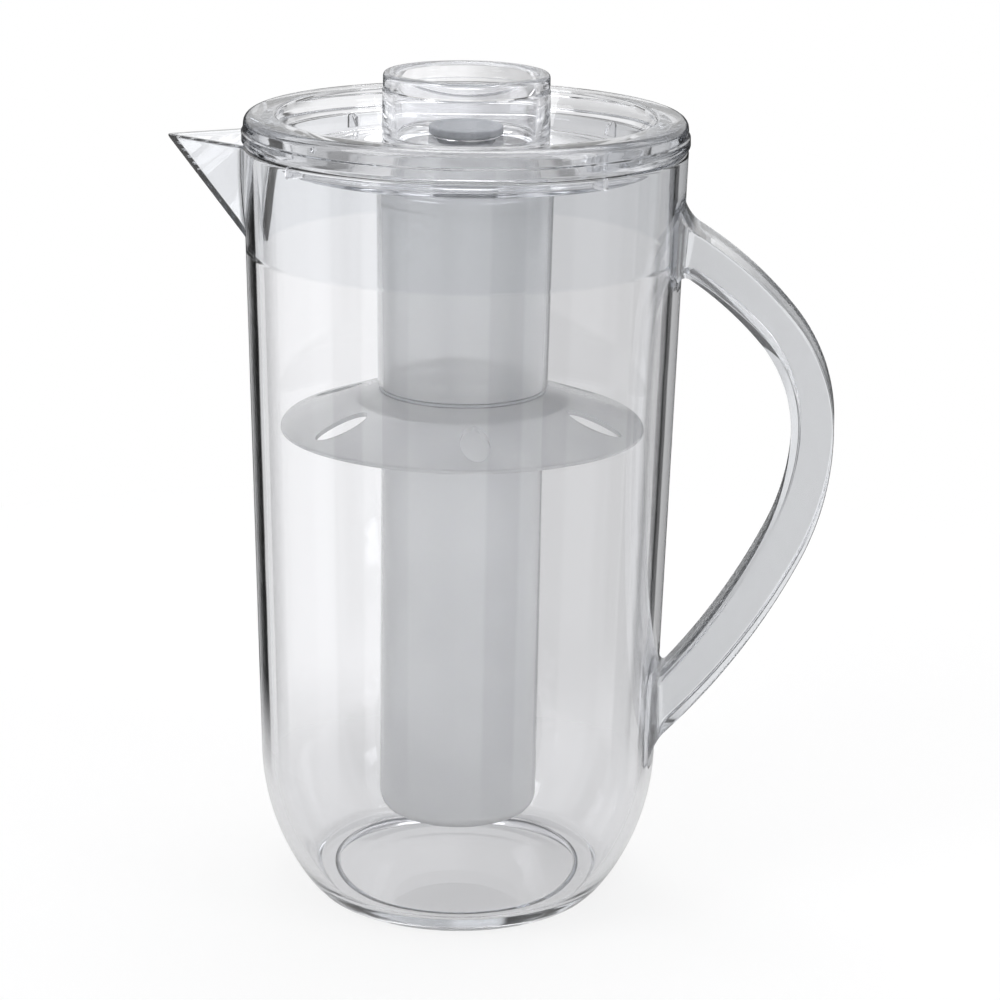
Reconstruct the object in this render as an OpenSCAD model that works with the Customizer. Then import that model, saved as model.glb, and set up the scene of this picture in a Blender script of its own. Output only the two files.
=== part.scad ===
// Fruit infusion pitcher: a clear jug with a V spout and a bonded handle, and a lid that carries
// a screw-on ice core with a fruit guard. Millimetres, +Z up, origin at the centre of the base,
// handle towards +X and spout towards -X.

/* [Jug] */
// Height of the jug's rim above the table
jug_h = 237; // [200:1:280]
// Outer radius of the jug at its rim
rim_r = 66.9; // [62:0.1:80]
// Draft of the wall, narrowing downwards, in degrees
draft = 1.35; // [0.5:0.05:2]
// Thickness of the jug's wall
wall = 3.8; // [2.5:0.1:5]
// Height at which the wall turns into the rounded bottom
turn_h = 44; // [35:1:55]
// Radius of the rounded bottom's arc
turn_r = 72; // [66:1:90]
// Thickness of the floor
floor_t = 6; // [4.5:0.1:9]
// Radius of the recess under the floor
recess_r = 39; // [25:0.5:41]
// Depth of the recess under the floor
recess_d = 3; // [1:0.1:3.5]
// Depth of the mouth below the rim, where the wall is thinner
mouth_h = 32; // [20:1:45]
// How much thinner the wall is at the mouth
mouth_step = 0.5; // [0.2:0.1:1]

/* [Spout] */
// Reach of the spout's tip from the jug's axis
spout_reach = 91; // [84:0.5:105]
// Height of the spout's crease, from its foot on the wall up to the rim
spout_h = 32; // [24:1:45]
// Half of the spout's width where it meets the rim
spout_half_w = 17.5; // [12:0.5:24]
// Thickness of the spout's sides
spout_wall = 2; // [1.2:0.1:3]

/* [Handle] */
// Reach of the handle's outer face from the jug's axis
handle_reach = 114; // [105:0.5:130]
// Height of the handle's outermost point
handle_z = 152.5; // [140:0.5:165]
// Thickness of the bar, seen from the side
handle_t = 13; // [10:0.5:16]
// Width of the bar, seen from behind
handle_w = 21.5; // [16:0.5:28]
// Radius of the bar's edges
handle_edge = 3; // [1:0.5:4.5]
// Radius of the bar's middle line above its outermost point
grip_top_r = 49.5; // [44:0.5:60]
// Sweep of that arc, in degrees
grip_top_sweep = 40; // [32:1:50]
// Radius of the flatter arc that runs from there to the upper joint
arm_top_r = 111; // [90:1:140]
// Radius of the bar's middle line below its outermost point
grip_low_r = 84.5; // [76:0.5:96]
// Sweep of that arc, in degrees
grip_low_sweep = 25; // [20:1:30]
// Radius of the flatter arc that runs from there to the lower joint
arm_low_r = 215; // [190:1:260]

/* [Lid] */
// How far the lid's flange stands out past the jug's rim
flange_over = 0.5; // [0:0.1:3]
// Thickness of the flange
flange_t = 9; // [5:0.5:12]
// Rounding of the flange's upper edge
flange_edge = 2.5; // [0.5:0.5:3]
// Width of the flat ring on top of the lid
ring_w = 10.4; // [8:0.2:14]
// Gap between the lid's dish and the jug's mouth, filled in part by the lid's ribs
mouth_gap = 2.4; // [1.5:0.1:4]
// How much the dish narrows towards its floor
dish_taper = 5; // [2:0.5:8]
// Depth of the dish's floor below the rim
dish_drop = 3; // [1:0.5:8]
// Thickness of the dish's floor
dish_t = 3; // [2:0.1:4]
// Number of centring ribs on the dish
rib_count = 4; // [3:1:8]
// Width of a rib
rib_w = 1.4; // [0.8:0.1:3]
// Length of a rib below the flange
rib_h = 3; // [2:0.1:5]
// Outer radius of the collar
collar_r = 25.1; // [22:0.1:28]
// Thickness of the collar
collar_wall = 3.6; // [2.5:0.1:5]
// Height of the collar above the flange
collar_h = 12.5; // [8:0.5:20]
// Depth of the web that closes the collar, below the flange's top
web_drop = 7; // [5:0.5:9]
// Thickness of the web
web_t = 3; // [2:0.1:4]

/* [Fill plug] */
// Radius of the plug's head
plug_head_r = 11.3; // [10.5:0.1:14]
// Thickness of the plug's head
plug_head_t = 3; // [2:0.1:6]
// Radius of the plug's neck
plug_neck_r = 9.7; // [7:0.1:10]
// Length of the plug's neck below its head
plug_neck_h = 8; // [5:0.5:12]

/* [Ice core] */
// Outer radius of the tube at its top
tube_top_r = 26.9; // [26:0.1:30]
// Outer radius of the tube at its lower end
tube_low_r = 26.1; // [25:0.1:28]
// Thickness of the tube's wall at its ends
tube_wall = 2; // [1.5:0.1:2.6]
// Length of the lid's spigot inside the tube
spigot_h = 8; // [6:0.5:14]
// Thickness of the spigot's wall
spigot_wall = 3.2; // [2:0.1:4]
// Thickness of the sealing ring on top of the tube
tube_seal_t = 1.5; // [1:0.1:2.5]
// Height of the guard's hub above the table, at its upper face
hub_z = 162; // [140:1:180]
// Thickness of the guard's hub
hub_t = 4; // [2.5:0.1:6]
// Thickness of the sealing ring on the hub
cup_seal_t = 1; // [0.6:0.1:2]
// Radius of the fruit guard
guard_r = 56; // [45:0.5:60]
// Drop of the guard from its hub to its edge
guard_drop = 10.5; // [6:0.5:20]
// Thickness of the guard
guard_t = 2; // [1.5:0.1:3]
// Number of drain holes in the guard
drain_count = 6; // [3:1:8]
// Length of a drain hole, measured outwards from the axis
drain_l = 17; // [10:0.5:20]
// Width of a drain hole
drain_w = 8.2; // [5:0.2:12]
// Distance of a drain hole's centre from the axis
drain_at = 43.5; // [38:0.5:45]
// Turn of the drain holes about the axis, in degrees
drain_turn = 42; // [0:1:59]
// Outer radius of the cup
cup_r = 24.9; // [24.2:0.1:26]
// Thickness of the cup's wall
cup_wall = 2.6; // [2:0.1:3.5]
// Height of the cup's underside above the table
cup_z = 24; // [20:1:50]
// Outer rounding of the cup's bottom
cup_round = 6; // [3:0.5:8]
// Length of the cup's neck inside the tube
neck_h = 5; // [3:0.5:10]
// Thickness of the neck's wall
neck_wall = 2.2; // [1.5:0.1:3]

/* [Fits] */
// Clearance between faces that turn or slide past each other
clearance = 0.3; // [0.2:0.05:0.5]

/* [Hidden] */
$fn = 96;
arc_steps = 24;
// Length between two stops on the handle's middle line, and turn between two points on its edges
stop_l = 5;
edge_turn = 30;
// Overshoot of cutting shapes past the face that they open
over = 1;

// Jug
draft_slope = tan(draft);
turn_at = [wall_r(turn_h), turn_h];
turn_c = turn_at - turn_r * [cos(draft), -sin(draft)];
mouth_z = jug_h - mouth_h;
mouth_r = rim_r - wall + mouth_step;

// Spout: tip, crease foot and the two ends of its upper edges on the wall
spout_tip = [-spout_reach, 0, jug_h];
spout_foot_z = jug_h - spout_h;
spout_crease = [spout_reach - wall_r(spout_foot_z), 0, -spout_h];
spout_edge_x = spout_reach - sqrt(rim_r * rim_r - spout_half_w * spout_half_w);
spout_edges = [for (side = [-1, 1]) [spout_edge_x, side * spout_half_w, 0]];
// Outward normal of a spout side, whose share along X sets how far the inside sits back
spout_normal = cross(spout_crease, spout_edges[1]);
spout_back = spout_wall * norm(spout_normal) / abs(spout_normal[0]);

// Handle
handle_mid_x = handle_reach - handle_t / 2;
grip_top_c = [handle_mid_x - grip_top_r, handle_z];
grip_low_c = [handle_mid_x - grip_low_r, handle_z];
arm_top_c = next_centre(grip_top_c, grip_top_r, arm_top_r, grip_top_sweep);
arm_low_c = next_centre(grip_low_c, grip_low_r, arm_low_r, -grip_low_sweep);
// The arms end inside the wall, and the jug's outer face cuts them to fit
arm_end_x = rim_r - handle_t / 2 - draft_slope * jug_h;
arm_top_end = acos((arm_end_x - arm_top_c[0]) / arm_top_r);
arm_low_end = acos((arm_end_x - arm_low_c[0]) / arm_low_r);
// Stops along the bar's middle line, from the lower joint to the upper
bar_line = concat(
    bar_stops(arm_low_c, arm_low_r, -arm_low_end, -grip_low_sweep),
    bar_stops(grip_low_c, grip_low_r, -grip_low_sweep, 0),
    bar_stops(grip_top_c, grip_top_r, 0, grip_top_sweep),
    bar_stops(arm_top_c, arm_top_r, grip_top_sweep, arm_top_end));

// Lid
lid_top = jug_h + flange_t;
flange_r = rim_r + flange_over;
ring_in_r = flange_r - ring_w;
dish_r = mouth_r - mouth_gap;
dish_top_z = jug_h - dish_drop;
dish_z = dish_top_z - dish_t;
rib_reach = mouth_r - clearance;
collar_in_r = collar_r - collar_wall;
web_z = lid_top - web_drop;
plug_hole_r = plug_neck_r + clearance;

// Ice core
tube_in_r = tube_top_r - tube_wall;
spigot_r = tube_in_r - clearance;
tube_top_z = dish_z - tube_seal_t;
tube_z = hub_z + cup_seal_t;
tube_low_in_r = tube_low_r - tube_wall;
socket_h = spigot_h + over;
neck_r = tube_low_in_r - clearance;
hub_in_r = neck_r + clearance;
shoulder_z = hub_z - hub_t;
neck_top_z = tube_z + neck_h;
guard_slope = guard_drop / (guard_r - tube_low_r);
guard_rim_t = guard_t * sqrt(1 + guard_slope * guard_slope);
guard_root_r = guard_r - (guard_drop + guard_rim_t - hub_t) / guard_slope;
cup_in_r = cup_r - cup_wall;
neck_in_r = neck_r - neck_wall;

// Outer radius of the jug's drafted wall at height z
function wall_r(z) = rim_r - (jug_h - z) * tan(draft);

// Points of an arc from angle a to angle b
function arc(c, r, a, b) =
    [for (i = [0:arc_steps]) let (t = a + (b - a) * i / arc_steps) c + r * [cos(t), sin(t)]];

// Centre of an arc of radius s that carries on smoothly where an arc of radius r stops at angle a
function next_centre(c, r, s, a) = c + (r - s) * [cos(a), sin(a)];

// Stops on an arc from angle a up to, but not at, angle b: each a point and its outward angle
function bar_stops(c, r, a, b) =
    let (n = ceil((b - a) * PI / 180 * r / stop_l))
    [for (i = [0:n - 1]) let (t = a + (b - a) * i / n) [c + r * [cos(t), sin(t)], t]];

// Section of the handle's bar about its middle line: thickness, then width, with rounded edges
function bar_section() =
    let (t = handle_t / 2 - handle_edge, w = handle_w / 2 - handle_edge)
    [for (corner = [[t, w, 0], [-t, w, 90], [-t, -w, 180], [t, -w, 270]], q = [0:edge_turn:90])
        [corner[0], corner[1]] + handle_edge * [cos(corner[2] + q), sin(corner[2] + q)]];

// Half section of the jug's outside, from the axis up to the rim
function jug_outline() = concat(
    [[0, 0]],
    arc(turn_c, turn_r, asin(-turn_c[1] / turn_r), -draft),
    [[rim_r, jug_h], [0, jug_h]]);

// Half section of the jug's inside, from the floor to past the rim
function hollow_outline() = concat(
    [[0, floor_t]],
    arc(turn_c, turn_r - wall, asin((floor_t - turn_c[1]) / (turn_r - wall)), -draft),
    [[wall_r(mouth_z) - wall, mouth_z],
     [wall_r(mouth_z) - wall + mouth_step, mouth_z],
     [mouth_r, jug_h],
     [mouth_r, jug_h + over],
     [0, jug_h + over]]);

module jug_outside() {
    rotate_extrude() polygon(jug_outline());
}

// Three-sided beak under the plane at its tip; grow lengthens it away from the tip
module beak(tip, grow) {
    polyhedron(
        points = [tip, tip + grow * spout_crease, tip + grow * spout_edges[0], tip + grow * spout_edges[1]],
        faces = [[0, 2, 1], [0, 1, 3], [0, 3, 2], [1, 2, 3]]);
}

// Clear jug: drafted wall, rounded bottom on a foot ring, and a sharp V spout open to the inside
module jug_body() {
    lift = over / spout_h;
    color("WhiteSmoke", 0.4) difference() {
        union() {
            jug_outside();
            beak(spout_tip, 1.2);
        }
        rotate_extrude() polygon(hollow_outline());
        beak(spout_tip + [spout_back, 0, 0] - lift * spout_crease, 1.6);
        translate([0, 0, -over]) cylinder(r = recess_r, h = recess_d + over);
    }
}

// Closed bar swept along the handle's middle line, ring by ring
module bar() {
    section = bar_section();
    sides = len(section);
    last = (len(bar_line) - 1) * sides;
    points = [for (stop = bar_line, p = section)
        [stop[0][0] + p[0] * cos(stop[1]), p[1], stop[0][1] + p[0] * sin(stop[1])]];
    skin = [for (ring = [0:sides:last - 1], i = [0:sides - 1])
        let (next = (i + 1) % sides)
        [ring + i, ring + next, ring + sides + next, ring + sides + i]];
    low_end = [for (i = [sides - 1:-1:0]) i];
    top_end = [for (i = [0:sides - 1]) last + i];
    polyhedron(points, concat(skin, [low_end, top_end]));
}

// Solid clear handle, cut to sit on the jug's wall where it is bonded
module handle() {
    color("Gainsboro", 0.6) difference() {
        bar();
        jug_outside();
    }
}

// Half section of the lid's flange and dish
module dish_section() {
    polygon(concat(
        [[collar_in_r, dish_z],
         [dish_r - dish_taper, dish_z],
         [dish_r, jug_h],
         [flange_r, jug_h]],
        arc([flange_r - flange_edge, lid_top - flange_edge], flange_edge, 0, 90),
        [[ring_in_r, lid_top],
         [ring_in_r - dish_taper, dish_top_z],
         [collar_in_r, dish_top_z]]));
}

// Clear lid: flange on the rim, dish, collar with a web inside it, spigot for the tube, and ribs
module lid() {
    rib_in = dish_r - dish_taper;
    color("WhiteSmoke", 0.4) union() {
        rotate_extrude() {
            dish_section();
            translate([collar_in_r, dish_z]) square([collar_wall, lid_top + collar_h - dish_z]);
            translate([spigot_r - spigot_wall, dish_z - spigot_h])
                square([spigot_wall, spigot_h + dish_t]);
            translate([plug_hole_r, web_z - web_t]) square([collar_r - plug_hole_r, web_t]);
        }
        for (i = [0:rib_count - 1])
            rotate([0, 0, (i + 0.5) * 360 / rib_count])
                translate([rib_in, -rib_w / 2, jug_h - rib_h])
                    cube([rib_reach - rib_in, rib_w, rib_h]);
    }
}

// Grey plug that closes the filling hole in the lid's web
module fill_plug() {
    color("SlateGray") {
        translate([0, 0, web_z]) cylinder(r = plug_head_r, h = plug_head_t);
        translate([0, 0, web_z - plug_neck_h]) cylinder(r = plug_neck_r, h = plug_neck_h);
    }
}

// Flat ring from radius a to radius b, standing on height z
module flat_ring(a, b, z, h) {
    translate([0, 0, z]) rotate_extrude() translate([a, 0]) square([b - a, h]);
}

// Sealing ring between the lid and the tube's upper end
module tube_seal() {
    color("Silver") flat_ring(tube_in_r, tube_top_r, tube_top_z, tube_seal_t);
}

// Smoky clear tube that screws on to the lid's spigot
module upper_tube() {
    color("LightSlateGray", 0.5) rotate_extrude() polygon([
        [tube_low_in_r, tube_z],
        [tube_low_r, tube_z],
        [tube_top_r, tube_top_z],
        [tube_in_r, tube_top_z],
        [tube_in_r, tube_top_z - socket_h],
        [tube_low_in_r, neck_top_z + socket_h]]);
}

// Sealing ring between the tube's lower end and the guard's hub
module cup_seal() {
    color("Silver") flat_ring(hub_in_r, tube_low_r, hub_z, cup_seal_t);
}

// Outline of a drain hole, a long ellipse
module drain_outline() {
    polygon([for (a = [0:10:350]) [drain_l / 2 * cos(a), drain_w / 2 * sin(a)]]);
}

// Frosted cone that holds the fruit down, clamped between the tube and the cup
module fruit_guard() {
    color("DarkGray", 0.8) difference() {
        rotate_extrude() polygon([
            [hub_in_r, shoulder_z],
            [guard_root_r, shoulder_z],
            [guard_r, hub_z - guard_drop - guard_rim_t],
            [guard_r, hub_z - guard_drop],
            [tube_low_r, hub_z],
            [hub_in_r, hub_z]]);
        for (i = [0:drain_count - 1])
            rotate([0, 0, drain_turn + i * 360 / drain_count])
                translate([drain_at, 0, shoulder_z - guard_drop])
                    linear_extrude(hub_t + 2 * guard_drop) drain_outline();
    }
}

// Frosted closed cup for ice, with a neck that screws into the tube
module lower_cup() {
    inner_round = max(cup_round - cup_wall, 0.5);
    color("DarkGray", 0.8) rotate_extrude() polygon(concat(
        [[0, cup_z]],
        arc([cup_r - cup_round, cup_z + cup_round], cup_round, -90, 0),
        [[cup_r, shoulder_z],
         [neck_r, shoulder_z],
         [neck_r, neck_top_z],
         [neck_in_r, neck_top_z],
         [neck_in_r, shoulder_z - cup_wall],
         [cup_in_r, shoulder_z - 2 * cup_wall]],
        arc([cup_in_r - inner_round, cup_z + cup_wall + inner_round], inner_round, 0, -90),
        [[0, cup_z + cup_wall]]));
}

jug_body();
handle();
lid();
fill_plug();
tube_seal();
upper_tube();
cup_seal();
fruit_guard();
lower_cup();
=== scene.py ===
"""Fruit infusion pitcher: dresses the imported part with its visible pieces, their finishes and a studio."""

import math

import bmesh
import bpy
from mathutils import Matrix, Vector


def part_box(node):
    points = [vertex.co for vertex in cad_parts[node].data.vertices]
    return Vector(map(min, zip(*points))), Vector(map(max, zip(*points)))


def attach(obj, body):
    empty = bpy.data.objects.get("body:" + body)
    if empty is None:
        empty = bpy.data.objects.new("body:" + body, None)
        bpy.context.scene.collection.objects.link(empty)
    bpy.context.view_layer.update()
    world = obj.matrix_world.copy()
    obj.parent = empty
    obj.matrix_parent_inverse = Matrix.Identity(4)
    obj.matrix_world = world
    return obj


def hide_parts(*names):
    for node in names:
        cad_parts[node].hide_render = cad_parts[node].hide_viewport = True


bl_info = {
    "name": "Fruit infusion pitcher",
    "version": (1, 0, 0),
    "blender": (4, 5, 0),
    "location": "View3D > Sidebar > Pitcher",
    "description": "Makes the jug, handle, lid and ice core of a pitcher with their finishes",
    "category": "Add Mesh",
}

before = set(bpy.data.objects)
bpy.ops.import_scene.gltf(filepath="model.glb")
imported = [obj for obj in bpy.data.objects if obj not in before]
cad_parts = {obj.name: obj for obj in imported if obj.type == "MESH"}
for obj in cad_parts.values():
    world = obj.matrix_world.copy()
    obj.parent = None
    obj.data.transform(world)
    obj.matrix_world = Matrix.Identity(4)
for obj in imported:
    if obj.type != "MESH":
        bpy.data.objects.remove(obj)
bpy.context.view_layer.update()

# Air left between pieces that touch, so that clear faces never lie in one another.
HAIR = 0.00012
# How far the handle's ends sink into the jug's wall, so that no gap shows there.
SUNK = 0.00035
# What the rounding of the rim takes off the spout's tip.
TIP_MAKE_UP = 0.00065
# Columns of faces round a large turned piece and round a small one.
COLUMNS, SMALL_COLUMNS = 192, 128
# Edges that turn by more than this stay sharp.
SHARP = math.radians(38)


# Sizes and colours

def linear(code):
    """Linear RGBA of an sRGB hex colour."""
    parts = [int(code[i:i + 2], 16) / 255 for i in (1, 3, 5)]
    return [c / 12.92 if c <= 0.04045 else ((c + 0.055) / 1.055) ** 2.4 for c in parts] + [1.0]


def size(name, description, millimetres):
    """A length that the user may change."""
    return bpy.props.FloatProperty(name=name, description=description, default=millimetres / 1000,
                                   min=0.0, precision=5, unit="LENGTH")


def angle(name, description, degrees):
    """An angle that the user may change."""
    return bpy.props.FloatProperty(name=name, description=description, default=math.radians(degrees),
                                   subtype="ANGLE", unit="ROTATION")


def count(name, description, default):
    """A number of like things that the user may change."""
    return bpy.props.IntProperty(name=name, description=description, default=default, min=1, max=24)


def colour(name, description, code):
    """A colour that the user may change."""
    return bpy.props.FloatVectorProperty(name=name, description=description, default=linear(code),
                                         size=4, min=0.0, max=1.0, subtype="COLOR")


def low(name, axis=2):
    """Lowest coordinate of a CAD node, in millimetres."""
    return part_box(name)[0][axis] * 1000


def high(name, axis=2):
    """Highest coordinate of a CAD node, in millimetres."""
    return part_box(name)[1][axis] * 1000


class JugSizes(bpy.types.PropertyGroup):
    rim_height: size("Rim height", "Height of the jug's rim", high("jug_body"))
    rim_radius: size("Rim radius", "Radius of the wall at the rim", 66.9)
    draft: angle("Draft", "Lean of the wall from upright", 1.35)
    wall: size("Wall", "Thickness of the wall", 3.8)
    turn_height: size("Turn height", "Height at which the wall turns in to the foot", 44)
    turn_radius: size("Turn radius", "Radius of the rounded bottom", 72)
    floor: size("Floor", "Height of the inner floor", 6)
    recess_radius: size("Recess radius", "Radius of the recess under the floor", 39)
    recess_depth: size("Recess depth", "Depth of the recess under the floor", 3)
    mouth_depth: size("Mouth depth", "Depth of the wider mouth", 32)
    mouth_step: size("Mouth step", "How much wider the mouth is", 0.07)
    mouth_ease: size("Mouth ease", "Height over which the wall steps out to the mouth", 1.6)
    spout_reach: size("Spout reach", "Distance of the spout's tip from the axis", -low("jug_body", 0))
    spout_height: size("Spout height", "Height of the spout's crease", 32)
    spout_half_width: size("Spout half width", "Half the spout's width at the rim", 17.5)
    spout_wall: size("Spout wall", "Thickness of the spout's sheets", 2)
    crease_round: size("Crease rounding", "Rounding along the outside of the spout's crease", 1.0)
    root_blend: size("Root blend", "Length over which a spout's sheet blends into the wall", 3.0)


class HandleSizes(bpy.types.PropertyGroup):
    reach: size("Reach", "Distance of the grip's outside from the axis", high("handle", 0))
    height: size("Height", "Height of the grip's widest point", 152.5)
    thickness: size("Thickness", "Thickness of the bar", 13)
    width: size("Width", "Width of the bar", high("handle", 1) - low("handle", 1))
    edge: size("Edge", "Rounding along the bar", 0.6)
    bevel: size("Bevel", "How far the bevels along the inside cut into the front and back", 3.0)
    bevel_depth: size("Bevel depth", "How far those bevels run in from the front and back", 5.2)
    bevel_least: bpy.props.FloatProperty(
        name="Least bevel", description="Share of the bevels left at the joints", default=0.35,
        min=0.2, max=1.0, subtype="FACTOR")
    grip_top_radius: size("Upper grip radius", "Bend of the grip above its widest point", 49.5)
    grip_top_sweep: angle("Upper grip sweep", "Length of that bend", 40)
    arm_top_radius: size("Upper arm radius", "Bend of the upper arm", 111)
    grip_low_radius: size("Lower grip radius", "Bend of the grip below its widest point", 84.5)
    grip_low_sweep: angle("Lower grip sweep", "Length of that bend", 25)
    arm_low_radius: size("Lower arm radius", "Bend of the lower arm", 215)
    fillet: size("Fillet", "Rounding above and below the joints with the wall", 5.5)
    side_fillet: size("Side fillet", "Rounding beside the joints with the wall", 1.6)


class LidSizes(bpy.types.PropertyGroup):
    flange_radius: size("Flange radius", "Radius of the flange on the rim", high("lid", 1))
    flange_top: size("Flange top", "Height of the flange's top", 246)
    flange_taper: size("Flange taper", "How much the flange narrows towards its top", 0.9)
    flange_width: size("Flange width", "Width of the flange's top", 10.4)
    dish_radius: size("Dish radius", "Radius of the dish under the flange", 61.2)
    dish_taper: size("Dish taper", "How much the dish narrows", 5)
    dish_top: size("Dish floor", "Height of the dish's floor", 234)
    dish_thickness: size("Dish thickness", "Thickness of the dish's floor", 3)
    collar_radius: size("Collar radius", "Radius of the collar", 25.1)
    collar_wall: size("Collar wall", "Thickness of the collar", 3.6)
    collar_band: size("Collar band", "Height of the thick band round the collar's top", 5)
    web_top: size("Web top", "Height of the web that closes the collar", 239)
    web_thickness: size("Web thickness", "Thickness of that web", 3)
    hole_radius: size("Hole radius", "Radius of the plug's hole", 10)
    spigot_radius: size("Spigot radius", "Radius of the spigot under its thread", 23.9)
    spigot_wall: size("Spigot wall", "Thickness of the spigot", 2.5)
    thread_pitch: size("Thread pitch", "Rise of a thread in one turn", 4)
    thread_ridge: size("Thread ridge", "Radius of a thread's round ridge", 0.75)
    rib_count: count("Ribs", "Number of centring ribs on the dish", 4)
    rib_width: size("Rib width", "Width of a centring rib", 1.5)
    rib_height: size("Rib height", "Height of a centring rib", 4.2)
    rib_reach: size("Rib reach", "Distance of a rib's outside from the axis", 63.3)


class CoreSizes(bpy.types.PropertyGroup):
    plug_head_radius: size("Plug head radius", "Radius of the plug's head", high("fill_plug", 0))
    plug_neck_radius: size("Plug neck radius", "Radius of the plug's neck", 9.7)
    tube_top_radius: size("Tube top radius", "Radius of the tube's upper end", high("upper_tube", 0))
    tube_low_radius: size("Tube low radius", "Radius of the tube's lower end", 26.1)
    tube_wall: size("Tube wall", "Thickness of the tube", 2)
    socket_depth: size("Socket depth", "Depth of the tube's socket for the spigot", 9)
    guard_radius: size("Guard radius", "Radius of the fruit guard", high("fruit_guard", 0))
    guard_drop: size("Guard drop", "Fall of the guard from hub to edge", 10.5)
    guard_thickness: size("Guard thickness", "Thickness of the guard", 1.4)
    hub_height: size("Hub", "Height of the guard's hub", 4)
    drain_count: count("Drains", "Number of drain holes in the guard", 6)
    drain_length: size("Drain length", "Length of a drain hole, outwards", 17)
    drain_width: size("Drain width", "Width of a drain hole", 8.8)
    drain_at: size("Drain place", "Distance of a drain hole from the axis", 43.5)
    drain_turn: angle("Drain turn", "Turn of the drain holes about the axis", 42)
    cup_radius: size("Cup radius", "Radius of the cup", high("lower_cup", 0))
    cup_wall: size("Cup wall", "Thickness of the cup", 2.6)
    cup_round: size("Cup rounding", "Rounding of the cup's bottom", 6)
    neck_radius: size("Neck radius", "Radius of the cup's neck under its thread", 23.1)
    neck_wall: size("Neck wall", "Thickness of the cup's neck", 1.6)


class Finishes(bpy.types.PropertyGroup):
    clear: colour("Clear plastic", "Tint of the jug and lid", "#FDFDFE")
    # This tint draws the band inside the wall above the mouth's step a little greyer than the wall below it.
    mouth: colour("Jug's mouth", "Tint of the band inside the jug that the lid rubs", "#F3F4F6")
    handle: colour("Handle", "Colour of the thick handle", "#F4F5F7")
    clear_depth: colour("Clear plastic in depth", "Tint of light that runs far inside the clear plastic",
                        "#C8CCD2")
    smoke: colour("Smoky plastic", "Tint of the tube", "#F5F6F7")
    frost: colour("Frosted plastic", "Colour of the guard and cup", "#FBFCFD")
    plug: colour("Plug rubber", "Colour of the plug", "#A3A6AB")
    seal: colour("Seal rubber", "Colour of the two seals", "#ABADB1")
    paper: colour("Studio paper", "Colour of the floor", "#F2F2F3")


class StudioSizes(bpy.types.PropertyGroup):
    camera_distance: size("Camera distance", "Distance of the camera from the axis", 872.4)
    camera_height: size("Camera height", "Height of the camera", 386.5)
    camera_azimuth: angle("Camera azimuth", "Turn of the camera round the pitcher", 7)
    camera_pitch: angle("Camera pitch", "How far the camera looks down", 16.66)
    camera_yaw: angle("Camera yaw", "How far the camera looks right of the axis", 0.79)
    camera_roll: angle("Camera roll", "Roll of the camera", 0.97)
    lens: bpy.props.FloatProperty(name="Lens", description="Focal length of the camera, in millimetres",
                                  default=105.36, unit="CAMERA")
    floor_radius: size("Floor radius", "Radius of the studio floor", 450)


# Nodes

FLOAT, WHOLE = "NodeSocketFloat", "NodeSocketInt"


def node(tree, kind, sockets=None, **settings):
    """Adds a node, with its settings, and fills or links its sockets."""
    made = tree.nodes.new(kind)
    for name, value in settings.items():
        setattr(made, name, value)
    for name, value in (sockets or {}).items():
        if isinstance(value, bpy.types.NodeSocket):
            tree.links.new(value, made.inputs[name])
        else:
            made.inputs[name].default_value = value
    return made


def new_finish(name):
    """A material, its emptied tree, and the piece's own coordinates in that tree."""
    made = bpy.data.materials.new(name)
    made.use_nodes = True
    tree = made.node_tree
    tree.nodes.clear()
    at = node(tree, "ShaderNodeTexCoord").outputs["Object"]
    return made, tree, at


# Finishes

def polished(tree, at, tint, clearness=1.0):
    """Ends the tree of a polished clear moulding, with its tint and the share of light that it lets
    through unscattered."""
    looks = bpy.context.scene.pitcher_finishes
    # Cooling waves are about 24 mm long.
    waves = node(tree, "ShaderNodeTexNoise", {"Vector": at, "Scale": 1 / 0.024, "Detail": 1.0})
    bump = node(tree, "ShaderNodeBump", {"Height": waves.outputs[0], "Strength": 0.04, "Distance": 0.0006})
    # Haze lies in patches of about 9 mm.
    patches = node(tree, "ShaderNodeTexNoise", {"Vector": at, "Scale": 1 / 0.009, "Detail": 3.0})
    haze = node(tree, "ShaderNodeMapRange", {
        "Value": patches.outputs[0], "From Min": 0.3, "From Max": 0.75, "To Min": 0.0, "To Max": 0.012})
    shader = node(tree, "ShaderNodeBsdfPrincipled", {
        "Base Color": tint, "IOR": 1.53, "Transmission Weight": clearness,
        "Roughness": haze.outputs[0], "Normal": bump.outputs[0]})
    depth = node(tree, "ShaderNodeVolumeAbsorption", {"Color": looks.clear_depth, "Density": 12.0})
    node(tree, "ShaderNodeOutputMaterial", {"Surface": shader.outputs[0], "Volume": depth.outputs[0]})


def clear_plastic(name):
    """SAN, injection moulded in a polished tool: water clear, with a faint grey in thick edges,
    a slow waviness from cooling and a little haze from handling."""
    made, tree, at = new_finish(name)
    polished(tree, at, bpy.context.scene.pitcher_finishes.clear)
    return made


def jug_plastic(name):
    """The same SAN, drawn a little greyer in the wider mouth above the step in the wall."""
    looks, jug = bpy.context.scene.pitcher_finishes, bpy.context.scene.pitcher_jug
    made, tree, at = new_finish(name)
    spot = node(tree, "ShaderNodeSeparateXYZ", {0: at})
    mouth = jug.rim_height - jug.mouth_depth
    # The tint turns greyer from just below to just above the mouth's step.
    greyed = node(tree, "ShaderNodeMapRange", {
        "Value": spot.outputs["Z"], "From Min": mouth - 0.0003, "From Max": mouth + 0.0003})
    # Sockets 6 and 7 are the two colours.
    tint = node(tree, "ShaderNodeMix", {"Factor": greyed.outputs[0], 6: looks.clear, 7: looks.mouth},
                data_type="RGBA")
    polished(tree, at, tint.outputs[2])
    return made


def handle_plastic(name):
    """The same SAN in a thick bar, which cools slowly and turns a little milky: its faces look evenly
    pale."""
    made, tree, at = new_finish(name)
    polished(tree, at, bpy.context.scene.pitcher_finishes.handle, clearness=0.88)
    return made


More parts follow.
